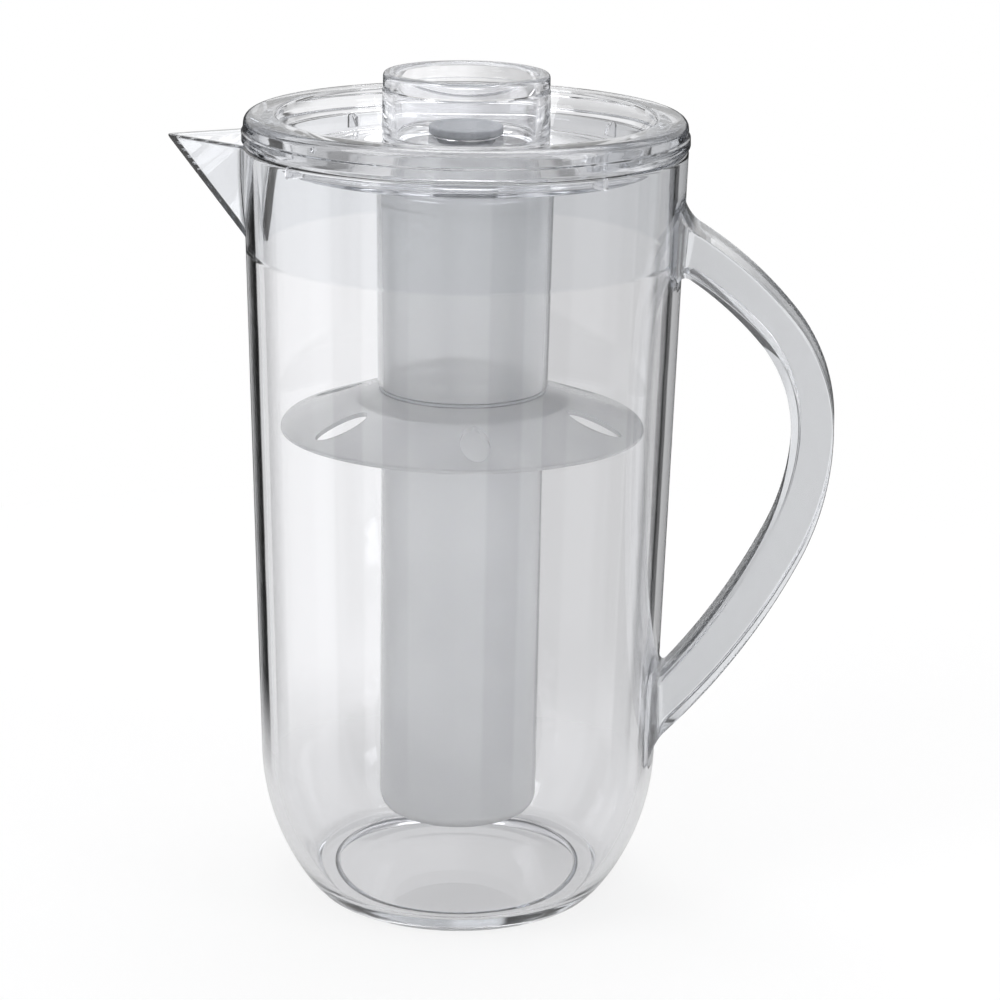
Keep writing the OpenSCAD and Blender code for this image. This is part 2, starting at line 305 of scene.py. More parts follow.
def smoke_plastic(name):
    """Tinted SAN, injection moulded: glossy, and grey enough to dim what stands behind it."""
    looks = bpy.context.scene.pitcher_finishes
    made, tree, at = new_finish(name)
    # Cooling waves are about 18 mm long, and haze lies in patches of about 7 mm.
    waves = node(tree, "ShaderNodeTexNoise", {"Vector": at, "Scale": 1 / 0.018, "Detail": 1.0})
    bump = node(tree, "ShaderNodeBump", {"Height": waves.outputs[0], "Strength": 0.1, "Distance": 0.0006})
    patches = node(tree, "ShaderNodeTexNoise", {"Vector": at, "Scale": 1 / 0.007, "Detail": 3.0})
    haze = node(tree, "ShaderNodeMapRange", {
        "Value": patches.outputs[0], "From Min": 0.3, "From Max": 0.75, "To Min": 0.09, "To Max": 0.14})
    shader = node(tree, "ShaderNodeBsdfPrincipled", {
        "Base Color": looks.smoke, "IOR": 1.53, "Transmission Weight": 0.68,
        "Roughness": haze.outputs[0], "Normal": bump.outputs[0]})
    node(tree, "ShaderNodeOutputMaterial", {"Surface": shader.outputs[0]})
    return made


def frosted_plastic(name):
    """Natural polypropylene, moulded in a spark-eroded tool: a fine even grain that scatters light,
    so it glows softly and shows only blurred shapes."""
    looks = bpy.context.scene.pitcher_finishes
    made, tree, at = new_finish(name)
    # The grain is about 0.3 mm across; it is drawn at 0.8 mm so that it shows.
    grain = node(tree, "ShaderNodeTexNoise", {"Vector": at, "Scale": 1 / 0.0008, "Detail": 2.0})
    bump = node(tree, "ShaderNodeBump", {"Height": grain.outputs[0], "Strength": 0.12, "Distance": 0.0003})
    # Wall thickness and flow vary the milkiness over about 35 mm.
    flow = node(tree, "ShaderNodeTexNoise", {"Vector": at, "Scale": 1 / 0.035, "Detail": 2.0})
    shade = node(tree, "ShaderNodeMapRange", {
        "Value": flow.outputs[0], "From Min": 0.3, "From Max": 0.7, "To Min": 0.94, "To Max": 1.04})
    tint = node(tree, "ShaderNodeVectorMath", {0: looks.frost[:3], "Scale": shade.outputs[0]},
                operation="SCALE")
    rough = node(tree, "ShaderNodeMapRange", {
        "Value": grain.outputs[0], "From Min": 0.3, "From Max": 0.7, "To Min": 0.18, "To Max": 0.26})
    shader = node(tree, "ShaderNodeBsdfPrincipled", {
        "Base Color": tint.outputs[0], "IOR": 1.49, "Transmission Weight": 0.6,
        "Roughness": rough.outputs[0], "Normal": bump.outputs[0]})
    node(tree, "ShaderNodeOutputMaterial", {"Surface": shader.outputs[0]})
    return made


def rubber(name, tint, speck):
    """Silicone rubber, pressed in a blasted mould: dull, with fine specks and a soft sheen."""
    made, tree, at = new_finish(name)
    grain = node(tree, "ShaderNodeTexNoise", {"Vector": at, "Scale": 1 / speck, "Detail": 3.0})
    bump = node(tree, "ShaderNodeBump", {"Height": grain.outputs[0], "Strength": 0.15, "Distance": 0.0003})
    shade = node(tree, "ShaderNodeMapRange", {
        "Value": grain.outputs[0], "From Min": 0.3, "From Max": 0.7, "To Min": 0.92, "To Max": 1.06})
    mixed = node(tree, "ShaderNodeVectorMath", {0: tint[:3], "Scale": shade.outputs[0]}, operation="SCALE")
    rough = node(tree, "ShaderNodeMapRange", {
        "Value": grain.outputs[0], "From Min": 0.3, "From Max": 0.7, "To Min": 0.5, "To Max": 0.62})
    shader = node(tree, "ShaderNodeBsdfPrincipled", {
        "Base Color": mixed.outputs[0], "IOR": 1.41,
        "Roughness": rough.outputs[0], "Normal": bump.outputs[0]})
    node(tree, "ShaderNodeOutputMaterial", {"Surface": shader.outputs[0]})
    return made


def plug_rubber(name):
    """The plug's silicone. Its specks, about 0.3 mm across, are drawn at 1.2 mm so that they show."""
    return rubber(name, bpy.context.scene.pitcher_finishes.plug, 0.0012)


def seal_rubber(name):
    """The seals' silicone. Its specks, about 0.3 mm across, are drawn at 0.9 mm so that they show."""
    return rubber(name, bpy.context.scene.pitcher_finishes.seal, 0.0009)


CLEAR = "SAN clear moulded"
# The jug's finish, drawn a little greyer in the wider mouth above the step.
JUG = "SAN clear moulded, rubbed mouth"
HANDLE = "SAN milky thick moulded"
SMOKE = "SAN smoky moulded"
FROST = "Polypropylene frosted moulded"
PLUG = "Silicone grey pressed"
SEAL = "Silicone pale pressed"
# The function that makes each finish, and the record's material slot that it stands for.
MATERIALS = {
    CLEAR: (clear_plastic, "clear_plastic"), JUG: (jug_plastic, "clear_plastic"),
    HANDLE: (handle_plastic, "clear_plastic"), SMOKE: (smoke_plastic, "smoke_plastic"),
    FROST: (frosted_plastic, "frosted_plastic"), PLUG: (plug_rubber, "grey_rubber"),
    SEAL: (seal_rubber, "pale_rubber")}


def finish(name):
    """The named material, made the first time that a piece asks for it."""
    make, _ = MATERIALS[name]
    return bpy.data.materials.get(name) or make(name)


# Shapes

def arc(centre, radius, start, end, steps):
    """Points of an arc in the plane of radius and height, angles in radians."""
    turns = [start + (end - start) * k / steps for k in range(steps + 1)]
    return [(centre[0] + radius * math.cos(t), centre[1] + radius * math.sin(t)) for t in turns]


def soften(corners, steps=6, loop=True):
    """Outline of (radius, height, rounding) corners, with each rounding drawn as an arc."""
    points = []
    last = len(corners) - 1
    for i, (r, z, bend) in enumerate(corners):
        here = Vector((r, z))
        if bend <= 0 or (not loop and i in (0, last)):
            points.append((r, z))
            continue
        into = (Vector(corners[i - 1][:2]) - here).normalized()
        out = (Vector(corners[(i + 1) % len(corners)][:2]) - here).normalized()
        half = into.angle(out) / 2
        centre = here + (into + out).normalized() * bend / math.sin(half)
        first = here + into * bend / math.tan(half) - centre
        final = here + out * bend / math.tan(half) - centre
        start = math.atan2(first.y, first.x)
        turn = (math.atan2(final.y, final.x) - start + math.pi) % (2 * math.pi) - math.pi
        points += arc(centre, bend, start, start + turn, steps)
    return points


def skin(bm, one, two):
    """Faces between two closed rings of corners, either of which may be a single point."""
    n = max(len(one), len(two))
    for k in range(n):
        corners = [one[k % len(one)], one[(k + 1) % len(one)], two[(k + 1) % len(two)], two[k % len(two)]]
        bm.faces.new(list(dict.fromkeys(corners)))


def as_object(name, bm, sharp=SHARP):
    """The finished object of a closed mesh: merged, faces outwards, smooth but for its sharp edges."""
    bmesh.ops.remove_doubles(bm, verts=bm.verts, dist=1e-6)
    bmesh.ops.dissolve_degenerate(bm, edges=bm.edges, dist=1e-7)
    bmesh.ops.recalc_face_normals(bm, faces=bm.faces)
    if bm.calc_volume(signed=True) < 0:
        bmesh.ops.reverse_faces(bm, faces=bm.faces)
    mesh = bpy.data.meshes.new(name)
    bm.to_mesh(mesh)
    bm.free()
    return linked(name, mesh, sharp)


def linked(name, mesh, sharp=SHARP):
    """A smooth shaded object of a mesh, in the scene."""
    mesh.shade_smooth()
    mesh.set_sharp_from_angle(angle=sharp)
    made = bpy.data.objects.new(name, mesh)
    bpy.context.scene.collection.objects.link(made)
    return made


def turned(name, outline, columns=COLUMNS, loop=True):
    """An outline turned round the axis; an open one starts and ends on the axis."""
    bm = bmesh.new()
    ring = [(math.cos(math.tau * k / columns), math.sin(math.tau * k / columns)) for k in range(columns)]
    rows = [[bm.verts.new((r * c, r * s, z)) for c, s in ring] if r > 1e-7 else [bm.verts.new((0, 0, z))]
            for r, z in outline]
    for one, two in zip(rows, rows[1:] + rows[:1] if loop else rows[1:]):
        skin(bm, one, two)
    return as_object(name, bm)


def grown(name, tree, values, base=None):
    """The plain mesh that a geometry tree makes with its named inputs, from a base object if it has one."""
    host = base or bpy.data.objects.new(name + "_host", bpy.data.meshes.new(name + "_host"))
    if base is None:
        bpy.context.scene.collection.objects.link(host)
    modifier = host.modifiers.new("Pattern", "NODES")
    modifier.node_group = tree
    inputs = {s.name: s.identifier for s in tree.interface.items_tree
              if s.item_type == "SOCKET" and s.in_out == "INPUT"}
    for key, value in values.items():
        modifier[inputs[key]] = value
    graph = bpy.context.evaluated_depsgraph_get()
    mesh = bpy.data.meshes.new_from_object(host.evaluated_get(graph), depsgraph=graph)
    if not mesh.polygons:
        raise RuntimeError(name + ": the pattern made no faces")
    mesh.name = name
    host.modifiers.remove(modifier)
    bpy.data.objects.remove(host)
    return linked(name, mesh)


def new_pattern(name, inputs):
    """An empty geometry tree with named inputs; returns it with its group input's sockets."""
    tree = bpy.data.node_groups.new(name, "GeometryNodeTree")
    tree.interface.new_socket(name="Geometry", in_out="INPUT", socket_type="NodeSocketGeometry")
    for key, kind in inputs.items():
        tree.interface.new_socket(name=key, in_out="INPUT", socket_type=kind)
    tree.interface.new_socket(name="Geometry", in_out="OUTPUT", socket_type="NodeSocketGeometry")
    return tree, node(tree, "NodeGroupInput").outputs


def end_pattern(tree, geometry, material):
    """Ends a geometry tree: real faces in their material."""
    real = node(tree, "GeometryNodeRealizeInstances", {"Geometry": geometry})
    made = node(tree, "GeometryNodeSetMaterial", {"Geometry": real.outputs[0], "Material": material})
    node(tree, "NodeGroupOutput", {"Geometry": made.outputs[0]})
    return tree


def place(piece, material, body, *nodes):
    """Gives a piece its finish and its body, and hides the CAD nodes that it stands for."""
    piece.data.materials.clear()
    piece.data.materials.append(finish(material))
    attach(piece, body)
    if nodes:
        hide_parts(*nodes)


def ring_points(tree, number, turn):
    """Points at the axis, one for each of a number of like things, and the angle of each."""
    points = node(tree, "GeometryNodePoints", {"Count": number})
    index = node(tree, "GeometryNodeInputIndex")
    step = node(tree, "ShaderNodeMath", {0: math.tau, 1: number}, operation="DIVIDE")
    turned_by = node(tree, "ShaderNodeMath", {0: index.outputs[0], 1: step.outputs[0], 2: turn},
                     operation="MULTIPLY_ADD")
    facing = node(tree, "ShaderNodeCombineXYZ", {"Z": turned_by.outputs[0]})
    return points.outputs[0], facing.outputs[0]


def thread_pattern(material):
    """A round ridge that winds up a neck."""
    tree, inputs = new_pattern("Thread", {
        "Radius": FLOAT, "Pitch": FLOAT, "Turns": FLOAT, "Ridge": FLOAT, "Start": FLOAT})
    rise = node(tree, "ShaderNodeMath", {0: inputs["Pitch"], 1: inputs["Turns"]}, operation="MULTIPLY")
    path = node(tree, "GeometryNodeCurveSpiral", {
        "Resolution": 96, "Rotations": inputs["Turns"], "Start Radius": inputs["Radius"],
        "End Radius": inputs["Radius"], "Height": rise.outputs[0]})
    section = node(tree, "GeometryNodeCurvePrimitiveCircle", {"Resolution": 12, "Radius": inputs["Ridge"]})
    ridge = node(tree, "GeometryNodeCurveToMesh", {
        "Curve": path.outputs[0], "Profile Curve": section.outputs[0], "Fill Caps": True})
    lift = node(tree, "ShaderNodeCombineXYZ", {"Z": inputs["Start"]})
    moved = node(tree, "GeometryNodeSetPosition", {"Geometry": ridge.outputs[0], "Offset": lift.outputs[0]})
    return end_pattern(tree, moved.outputs[0], material)


def rib_pattern(material):
    """Upright ribs with rounded ends, spread round the lid's dish."""
    tree, inputs = new_pattern("Centring ribs", {
        "Count": WHOLE, "Turn": FLOAT, "Width": FLOAT, "Height": FLOAT, "Inside": FLOAT, "Reach": FLOAT,
        "Top": FLOAT})
    # The ends are rounded by just under half the width, so that their arcs never meet in a point.
    half = node(tree, "ShaderNodeMath", {0: inputs["Width"], 1: 0.49}, operation="MULTIPLY")
    outline = node(tree, "GeometryNodeCurvePrimitiveQuadrilateral", {
        "Width": inputs["Width"], "Height": inputs["Height"]})
    rounded = node(tree, "GeometryNodeFilletCurve", {
        "Curve": outline.outputs[0], "Radius": half.outputs[0], "Count": 6}, mode="POLY")
    face = node(tree, "GeometryNodeFillCurve", {"Curve": rounded.outputs[0]}, mode="NGONS")
    depth = node(tree, "ShaderNodeMath", {0: inputs["Reach"], 1: inputs["Inside"]}, operation="SUBTRACT")
    drawn = node(tree, "GeometryNodeExtrudeMesh", {
        "Mesh": face.outputs[0], "Offset Scale": depth.outputs[0], "Individual": False})
    back = node(tree, "GeometryNodeFlipFaces", {"Mesh": face.outputs[0]})
    both = node(tree, "GeometryNodeJoinGeometry", {"Geometry": drawn.outputs[0]})
    tree.links.new(back.outputs[0], both.inputs[0])
    closed = node(tree, "GeometryNodeMergeByDistance", {"Geometry": both.outputs[0], "Distance": 1e-6})
    # The outline lies flat and is drawn along its normal; it is stood up and faced outwards.
    sunk = node(tree, "ShaderNodeMath", {0: inputs["Height"], 1: -0.5, 2: inputs["Top"]},
                operation="MULTIPLY_ADD")
    stand = node(tree, "ShaderNodeCombineXYZ", {"X": inputs["Inside"], "Z": sunk.outputs[0]})
    upright = node(tree, "GeometryNodeTransform", {
        "Geometry": closed.outputs[0], "Translation": stand.outputs[0],
        "Rotation": (math.pi / 2, 0, math.pi / 2)})
    points, facing = ring_points(tree, inputs["Count"], inputs["Turn"])
    ribs = node(tree, "GeometryNodeInstanceOnPoints", {
        "Points": points, "Instance": upright.outputs[0], "Rotation": facing})
    return end_pattern(tree, ribs.outputs[0], material)


def drain_pattern(material):
    """Long oval holes cut through the guard."""
    tree, inputs = new_pattern("Drain holes", {
        "Count": WHOLE, "Turn": FLOAT, "Length": FLOAT, "Width": FLOAT, "Place": FLOAT, "Middle": FLOAT})
    # The drill is 1 m across until it is stretched to a hole's length and width, and outreaches the guard.
    core = node(tree, "GeometryNodeMeshCylinder", {"Vertices": 64, "Radius": 0.5, "Depth": 0.05})
    stretch = node(tree, "ShaderNodeCombineXYZ", {"X": inputs["Length"], "Y": inputs["Width"], "Z": 1.0})
    spot = node(tree, "ShaderNodeCombineXYZ", {"X": inputs["Place"], "Z": inputs["Middle"]})
    drill = node(tree, "GeometryNodeTransform", {
        "Geometry": core.outputs[0], "Translation": spot.outputs[0], "Scale": stretch.outputs[0]})
    points, facing = ring_points(tree, inputs["Count"], inputs["Turn"])
    drills = node(tree, "GeometryNodeInstanceOnPoints", {
        "Points": points, "Instance": drill.outputs[0], "Rotation": facing})
    real = node(tree, "GeometryNodeRealizeInstances", {"Geometry": drills.outputs[0]})
    cut = node(tree, "GeometryNodeMeshBoolean", {"Mesh 1": inputs["Geometry"], "Mesh 2": real.outputs[0]},
               operation="DIFFERENCE", solver="EXACT")
    return end_pattern(tree, cut.outputs[0], material)


# Jug

class Jug:
    """The jug's outer and inner surfaces, worked out from its sizes."""

    # Rows of faces up the wall, along the spout and round each side of the bottom.
    WALL_ROWS, SPOUT_ROWS, TURN_ROWS = 54, 40, 30
    # Rounding of the rim's two edges, the zone under the top that they are drawn in, and the gap between the
    # top and the highest plain row.
    RIM_ROUND, RIM_ZONE, RIM_GAP = 0.0011, 0.002, 0.0017
    # Radians by which the bottom's arcs stop short of the foot and the floor, to leave room for roundings.
    HEEL_GAP, BELLY_GAP, FLOOR_GAP = 0.05, 0.07, 0.06

    def __init__(self, s):
        self.s = s
        self.lean = math.tan(s.draft)
        self.mouth = s.rim_height - s.mouth_depth
        self.top = s.rim_height - HAIR
        self.centre = (self.outer(s.turn_height) - s.turn_radius * math.cos(s.draft),
                       s.turn_height + s.turn_radius * math.sin(s.draft))
        # The spout is a wedge: its crease runs from the wall at the mouth's depth to the tip at the rim.
        root = math.sqrt(s.rim_radius ** 2 - s.spout_half_width ** 2)
        self.spread = math.atan2(s.spout_half_width, s.spout_reach - root)
        foot = s.rim_height - s.spout_height
        self.crease = (s.spout_reach - self.outer(foot)) / s.spout_height
        across = Vector((s.spout_reach - root, s.spout_half_width, 0))
        down = Vector((s.spout_reach - self.outer(foot), 0, -s.spout_height))
        sheet = across.cross(down).normalized()
        self.inset = s.spout_wall / abs(sheet.x)
        # The sheets meet past the tip, so that the rounded crease ends at the tip.
        self.past = s.crease_round * (1 / math.sin(self.spread) - 1) + TIP_MAKE_UP

    def outer(self, z):
        """Radius of the wall's outside at a height."""
        return self.s.rim_radius - (self.s.rim_height - z) * self.lean

    def inner(self, z):
        """Radius of the wall's inside at a height, which steps out smoothly to the mouth."""
        climb = min(max((z - self.mouth) / self.s.mouth_ease + 0.5, 0), 1)
        return self.outer(z) - self.s.wall + self.s.mouth_step * climb * climb * (3 - 2 * climb)

    def outline(self):
        """Half section from the axis under the floor, over the rim, to the axis on the floor."""
        s = self.s
        x, y = self.centre
        inside = s.turn_radius - s.wall
        foot = -math.asin(y / s.turn_radius)
        hollow = -math.asin((y - s.floor) / inside)
        foot_radius = x + s.turn_radius * math.cos(foot)
        heel = foot + self.HEEL_GAP
        under = soften([
            (0, s.recess_depth, 0), (s.recess_radius, s.recess_depth, 0.0012),
            (s.recess_radius + 0.0006, 0, 0.0008), (foot_radius - 0.0004, 0, 0.0012),
            (x + s.turn_radius * math.cos(heel), y + s.turn_radius * math.sin(heel), 0)], loop=False)
        belly = arc(self.centre, s.turn_radius, foot + self.BELLY_GAP, -s.draft, self.TURN_ROWS)
        # Plain rows up the wall, close rows through the mouth's step, and rows along the spout.
        step_low, step_high = self.mouth - s.mouth_ease, self.mouth + s.mouth_ease
        spout_end = self.mouth + s.spout_height - self.RIM_GAP
        heights = [s.turn_height + (step_low - s.turn_height) * k / self.WALL_ROWS
                   for k in range(1, self.WALL_ROWS + 1)]
        heights += [self.mouth + s.mouth_ease * k / 12 for k in range(-8, 9)]
        heights += [step_high + (spout_end - step_high) * k / self.SPOUT_ROWS
                    for k in range(self.SPOUT_ROWS + 1)]
        wall = [(self.outer(z), z) for z in heights]
        lip = self.top - self.RIM_ZONE
        rim = soften([(self.outer(lip), lip, 0), (self.outer(self.top), self.top, self.RIM_ROUND),
                      (self.inner(self.top), self.top, self.RIM_ROUND), (self.inner(lip), lip, 0)],
                     loop=False)
        inner = [(self.inner(z), z) for z in reversed(heights)]
        bowl = arc(self.centre, inside, -s.draft, hollow + self.FLOOR_GAP, self.TURN_ROWS)
        floor = soften([bowl[-1] + (0,), (x + inside * math.cos(hollow), s.floor, 0.004), (0, s.floor, 0)],
                       loop=False)
        return under + belly + wall + rim[1:-1] + inner + bowl[:-1] + floor

    def ring(self, r, z, columns, sheet):
        """Corners round the jug at one outline point, out along the spout where it stands proud."""
        s = self.s
        thin = min(max((self.outer(z) - r) / (self.outer(z) - self.inner(z)), 0), 1)
        tip = s.spout_reach + self.past - (s.rim_height - z) * self.crease - thin * self.inset
        stands = z >= s.rim_height - s.spout_height and tip > r
        meet = math.asin(min(tip * math.sin(self.spread) / r, 1)) - self.spread if stands else 0.0
        tip = tip if stands else r
        root = Vector((r * math.cos(meet), r * math.sin(meet)))
        length = (root - Vector((tip, 0))).length
        along = (root - Vector((tip, 0))).normalized() if length > 1e-9 else Vector((0, 0))
        # Round the crease, run along the sheet, and ease into the wall.
        bend = min(s.crease_round * (1 - 0.7 * thin), 0.5 * length * math.tan(self.spread))
        centre = tip - bend / math.sin(self.spread)
        half = [Vector(p) for p in arc((centre, 0), bend, 0, math.pi / 2 - self.spread, 6)]
        blend = min(s.root_blend, 0.4 * length)
        before = root - along * blend
        after_turn = meet + blend / r
        after = Vector((r * math.cos(after_turn), r * math.sin(after_turn)))
        half += [half[-1].lerp(before, k / sheet) for k in range(1, sheet + 1)]
        half += [before.lerp(root, k / 6).lerp(root.lerp(after, k / 6), k / 6) for k in range(1, 6)]
        turns = [after_turn + (math.pi - after_turn) * k / columns for k in range(columns + 1)]
        half += [Vector((r * math.cos(t), r * math.sin(t))) for t in turns]
        return [(-p.x, p.y, z) for p in half] + [(-p.x, -p.y, z) for p in reversed(half[1:-1])]


class PITCHER_OT_jug(bpy.types.Operator):
    """Make the clear jug with its spout, wider mouth, rounded bottom and foot ring"""
    bl_idname = "pitcher.jug"
    bl_label = "Jug"

    # The spout's sheets keep their edges, and the wall stays smooth.
    CRISP = math.radians(30)
    # Columns of faces round half the wall and across half the spout.
    WALL_COLUMNS, SHEET_COLUMNS = 96, 7

    def execute(self, context):
        jug = Jug(context.scene.pitcher_jug)
        bm = bmesh.new()
        rows = []
        for r, z in jug.outline():
            if r < 1e-7:
                rows.append([bm.verts.new((0, 0, z))])
            else:
                ring = jug.ring(r, z, self.WALL_COLUMNS, self.SHEET_COLUMNS)
                rows.append([bm.verts.new(corner) for corner in ring])
        for one, two in zip(rows, rows[1:]):
            skin(bm, one, two)
        place(as_object("jug_body", bm, self.CRISP), JUG, "jug", "jug_body")
        return {"FINISHED"}


# Handle

class Handle:
    """The handle's bar: two arcs of the grip between two arcs of the arms, worked out from its sizes."""

    # Rings of corners along an arm and along each half of the grip.
    ARM_RINGS, TOP_RINGS, LOW_RINGS = 48, 26, 24
    # How far each arm is followed, past its meeting with the wall.
    TOP_SEARCH, LOW_SEARCH = math.radians(34), math.radians(28)
    # Shrinking rings that close an end inside the wall.
    CLOSING = (0.75, 0.5, 0.25, 0.1)

    def __init__(self, s, jug):
        self.s, self.jug = s, jug
        middle = s.reach - s.thickness / 2
        self.top_grip = Vector((middle - s.grip_top_radius, s.height))
        self.low_grip = Vector((middle - s.grip_low_radius, s.height))
        top_way = Vector((math.cos(s.grip_top_sweep), math.sin(s.grip_top_sweep)))
        low_way = Vector((math.cos(s.grip_low_sweep), -math.sin(s.grip_low_sweep)))
        self.top_arm = self.top_grip + top_way * (s.grip_top_radius - s.arm_top_radius)
        self.low_arm = self.low_grip + low_way * (s.grip_low_radius - s.arm_low_radius)

    def section(self, share):
        """Corners of the bar's section, with its bevels at a share of their size: outward offset,
        sideways offset, and the way that each faces."""
        s = self.s
        deep, wide = s.thickness / 2, s.width / 2
        cut, run = deep - s.bevel * share, wide - s.bevel_depth * share
        corners = soften([(deep, wide, s.edge), (-cut, wide, s.edge), (-deep, run, s.edge),
                          (-deep, -run, s.edge), (-cut, -wide, s.edge), (deep, -wide, s.edge)], steps=3)
        made = []
        for i, (out, y) in enumerate(corners):
            along = Vector(corners[(i + 1) % len(corners)]) - Vector(corners[i - 1])
            made.append((out, y, Vector((along.y, -along.x)).normalized()))
        return made

    def spot(self, centre, radius, out, y, turn):
        """Point on an arc of the bar, at offsets from its middle line."""
        return Vector((centre.x + (radius + out) * math.cos(turn), y,
                       centre.y + (radius + out) * math.sin(turn)))

    def meet(self, centre, radius, out, y, turn, sweep):
        """Turn at which a line of the bar runs into the wall, found by halving."""
        near, far = turn, turn + sweep
        for _ in range(40):
            mid = (near + far) / 2
            p = self.spot(centre, radius, out, y, mid)
            if math.hypot(p.x, p.y) > self.jug.outer(p.z) - SUNK:
                near = mid
            else:
                far = mid
        return near

    def arm(self, centre, radius, turn, sweep, share):
        """Rings of one arm from its grip to the wall, and shrinking rings that close its end."""
        s = self.s
        length = radius * abs(self.meet(centre, radius, 0, 0, turn, sweep) - turn)
        rings = []
        for k in range(self.ARM_RINGS + 1):
            # Rings lie closer towards the wall, where the fillets flare the bar.
            t = 1 - (1 - k / self.ARM_RINGS) ** 2
            gap = (1 - t) * length
            lift = 1 - math.sqrt(1 - max(1 - gap / s.fillet, 0) ** 2)
            ring = []
            for out, y, way in self.section(share + (s.bevel_least - share) * t):
                out, y = out + lift * s.fillet * way[0], y + lift * s.side_fillet * way[1]
                end = self.meet(centre, radius, out, y, turn, sweep)
                ring.append(self.spot(centre, radius, out, y, turn + (end - turn) * t))
            rings.append(ring)
        for shrink in self.CLOSING:
            ring = []
            for out, y, _ in self.section(s.bevel_least):
                out, y = out * shrink, y * shrink
                end = self.meet(centre, radius, out, y, turn, sweep)
                ring.append(self.spot(centre, radius, out, y, end))
            rings.append(ring)
        return rings

    def grip(self, centre, radius, start, end, steps, share, last):
        """Rings of one half of the grip, between its ends."""
        parts = [k / steps for k in range(1, steps)]
        return [[self.spot(centre, radius, out, y, start + (end - start) * part)
                 for out, y, _ in self.section(share + (last - share) * part)] for part in parts]

    def rings(self):
        """Rings of the whole bar, from its upper joint to its lower one."""
        s = self.s
        rings = self.arm(self.top_arm, s.arm_top_radius, s.grip_top_sweep, self.TOP_SEARCH, 1.0)[::-1]
        rings += self.grip(self.top_grip, s.grip_top_radius, s.grip_top_sweep, 0, self.TOP_RINGS, 1.0, 1.0)
        rings += [[self.spot(self.top_grip, s.grip_top_radius, out, y, 0) for out, y, _ in self.section(1.0)]]
        rings += self.grip(self.low_grip, s.grip_low_radius, 0, -s.grip_low_sweep, self.LOW_RINGS,
                           1.0, s.bevel_least)
        rings += self.arm(self.low_arm, s.arm_low_radius, -s.grip_low_sweep, -self.LOW_SEARCH, s.bevel_least)
        return rings


class PITCHER_OT_handle(bpy.types.Operator):
    """Make the solid clear handle and flare its ends on to the wall"""
    bl_idname = "pitcher.handle"
    bl_label = "Handle"

    # The bevels turn only a little from the faces beside them, so a small angle keeps their edges crisp.
    CRISP = math.radians(9.5)

    def execute(self, context):
        bar = Handle(context.scene.pitcher_handle, Jug(context.scene.pitcher_jug))
        bm = bmesh.new()
        rows = [[bm.verts.new(p) for p in ring] for ring in bar.rings()]
        for one, two in zip(rows, rows[1:]):
            skin(bm, one, two)
        for end in (rows[0], rows[-1]):
            bm.faces.new(end)
        place(as_object("handle", bm, self.CRISP), HANDLE, "jug", "handle")
        return {"FINISHED"}


# Lid

# Height of a thread's start above the end or seal that it winds up from.
THREAD_START = 0.001


class PITCHER_OT_lid(bpy.types.Operator):
    """Make the clear lid with its flange, dish, collar, plug web and spigot"""
    bl_idname = "pitcher.lid"
    bl_label = "Lid"

    def execute(self, context):
        s = context.scene.pitcher_lid
        rim = context.scene.pitcher_jug.rim_height + HAIR
        ring = s.flange_radius - s.flange_width
        top = high("lid") / 1000
        bore = s.collar_radius - s.collar_wall
        band = top - s.collar_band
        band_inside, band_outside = bore - 0.0004, s.collar_radius - 0.0001
        under = s.dish_top - s.dish_thickness
        web_low = s.web_top - s.web_thickness
        spigot_end = low("lid") / 1000
        spigot_bore = s.spigot_radius - s.spigot_wall
        # The flange's side stands out by a small step just above the rim.
        step = s.flange_radius - 0.0006
        outline = soften([
            (s.hole_radius, s.web_top, 0.0004), (bore, s.web_top, 0.001),
            (bore + 0.0002, band - 0.0006, 0.0004), (band_inside, band, 0.0004),
            (band_inside, top, 0.0013), (band_outside, top, 0.0013),
            (band_outside, band, 0.0003), (s.collar_radius + 0.0001, band - 0.0004, 0.0003),
            (s.collar_radius + 0.0003, s.dish_top, 0.0012), (ring - s.dish_taper, s.dish_top, 0.002),
            (ring, s.flange_top, 0.0016), (s.flange_radius - s.flange_taper, s.flange_top, 0.0028),
            (step, rim + 0.0042, 0.0005), (s.flange_radius - 0.0001, rim + 0.0037, 0.0004),
            (s.flange_radius, rim + 0.0012, 0.001), (step, rim, 0.0005),
            (s.dish_radius, rim, 0.0005), (s.dish_radius - s.dish_taper, under, 0.002),
            (s.spigot_radius, under, 0.0004), (s.spigot_radius, spigot_end, 0.0006),
            (spigot_bore, spigot_end, 0.0006), (bore, web_low, 0.0008), (s.hole_radius, web_low, 0.0004)])
        place(turned("lid", outline), CLEAR, "lid", "lid")
        ribs = grown("lid_ribs", rib_pattern(finish(CLEAR)), {
            "Count": s.rib_count, "Turn": math.radians(45), "Width": s.rib_width, "Height": s.rib_height,
            "Inside": s.dish_radius - 0.003, "Reach": s.rib_reach, "Top": rim - 0.0002})
        place(ribs, CLEAR, "lid")
        thread = grown("spigot_thread", thread_pattern(finish(CLEAR)), {
            "Radius": s.spigot_radius, "Pitch": s.thread_pitch, "Turns": 1.35, "Ridge": s.thread_ridge,
            "Start": spigot_end + THREAD_START})
        place(thread, CLEAR, "lid")
        return {"FINISHED"}


